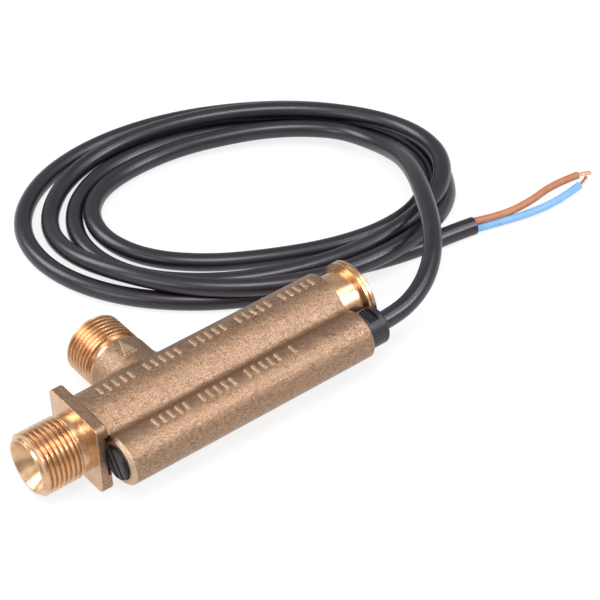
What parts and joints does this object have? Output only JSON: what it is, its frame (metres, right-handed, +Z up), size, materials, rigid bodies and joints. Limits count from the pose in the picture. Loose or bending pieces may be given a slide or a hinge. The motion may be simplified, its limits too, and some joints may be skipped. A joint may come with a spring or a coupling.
{
  "type": "flow switch",
  "caption": "Cast brass in-line flow switch: male threaded inlet and side outlet, spring-loaded magnetic piston, reed switch in a side bore, and a black cable lying in a loose coil.",
  "frame": {"origin": "centre of the inlet's end face, on the axis of the main bore", "axes": "+X along the main bore from the inlet to the end cap, +Y along the side outlet, +Z up; the switch lies on its flange at z = -10.2 mm"},
  "size_m": [0.1898, 0.1289, 0.0208],
  "materials": {
    "cast_brass": "sand-cast skin, with threads, necks and bores machined bright",
    "machined_brass": "turned",
    "stainless_steel": "turned and drawn",
    "magnet": "sintered ferrite",
    "seal_rubber": "moulded",
    "black_plastic": "moulded satin",
    "carrier_plastic": "moulded natural nylon",
    "clear_glass": "clear, faintly green",
    "nickel_iron": "plated",
    "tinned_copper": "tinned",
    "potting_resin": "cast resin",
    "cable_sheath": "extruded satin sheath",
    "brown_insulation": "extruded",
    "blue_insulation": "extruded",
    "bare_copper": "bare drawn copper"
  },
  "bodies": {
    "switch": {"valve_body": "cast_brass", "end_cap": "machined_brass", "return_spring": "stainless_steel", "spring_seat": "stainless_steel", "cap_o_ring": "seal_rubber", "plug_o_ring": "seal_rubber", "gland_o_ring": "seal_rubber", "blanking_plug": "black_plastic", "cable_gland": "black_plastic", "gland_wedge": "black_plastic", "reed_carrier": "carrier_plastic", "reed_glass": "clear_glass", "reed_blades": "nickel_iron", "brown_crimp": "tinned_copper", "blue_crimp": "tinned_copper", "reed_potting": "potting_resin", "cable_lead": "cable_sheath", "cable_coil": "cable_sheath", "cable_tail": "cable_sheath", "sheath_stub": "cable_sheath", "brown_core": "brown_insulation", "inner_brown_core": "brown_insulation", "blue_core": "blue_insulation", "inner_blue_core": "blue_insulation", "brown_strands": "bare_copper", "blue_strands": "bare_copper"},
    "piston_group": {"piston": "stainless_steel", "piston_seal": "seal_rubber", "piston_magnet": "magnet", "magnet_washers": "stainless_steel", "piston_nut": "stainless_steel"}
  },
  "joints": [
    {"name": "piston_slide", "type": "slide", "parent": "switch", "child": "piston_group", "axis": [1, 0, 0], "range_m": [0, 0.012], "stiffness_N_per_m": 120, "springref_m": -0.015, "deforming": ["return_spring"]}
  ]
}
